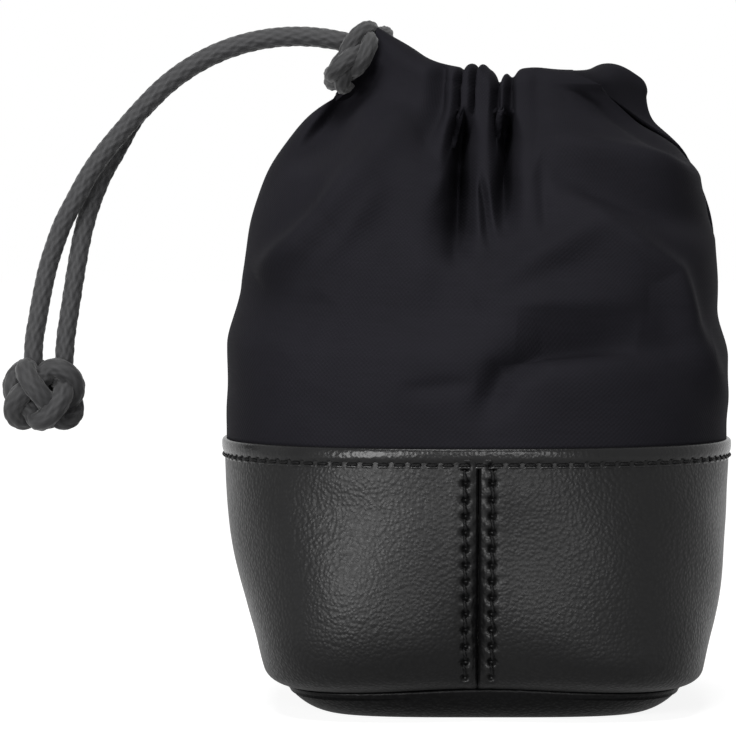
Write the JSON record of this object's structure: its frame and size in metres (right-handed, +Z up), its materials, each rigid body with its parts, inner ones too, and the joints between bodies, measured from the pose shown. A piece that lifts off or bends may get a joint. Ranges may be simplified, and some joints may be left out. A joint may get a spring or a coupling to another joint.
{
  "type": "lens pouch",
  "caption": "Standing drawstring pouch for a lens: padded leather cup below, gathered woven top above, closed by a braided cord with a sliding knot and an end knot.",
  "frame": {"origin": "on the table under the middle of the pouch's foot", "axes": "+Z up, the front with the centre seam and the pleats faces -Y, the cord leaves the mouth towards -X"},
  "size_m": [0.129, 0.0856, 0.1251],
  "materials": {
    "leather": "pebble-grained black leather, low sheen",
    "binding": "thin smooth black leather",
    "foam": "soft foam sheet, hidden",
    "lining": "soft brushed lining",
    "nylon": "matt plain-woven nylon",
    "cord": "round braided cord"
  },
  "bodies": {
    "pouch": {"base_panel": "leather", "wall_left": "leather", "wall_right": "leather", "rim_binding": "binding", "wall_padding": "foam", "base_padding": "foam", "lining_wall": "lining", "lining_base": "lining", "upper_front": "nylon", "upper_back": "nylon", "drawcord_loop": "cord", "strand_front": "cord", "strand_back": "cord", "end_knot": "cord"},
    "slider": {"slider_knot": "cord"}
  },
  "joints": [
    {"name": "slider_travel", "type": "hinge", "parent": "pouch", "child": "slider", "pos_m": [-0.0319, 0, 0.0831], "axis": [0, -1, 0], "range_deg": [0, 53]}
  ]
}
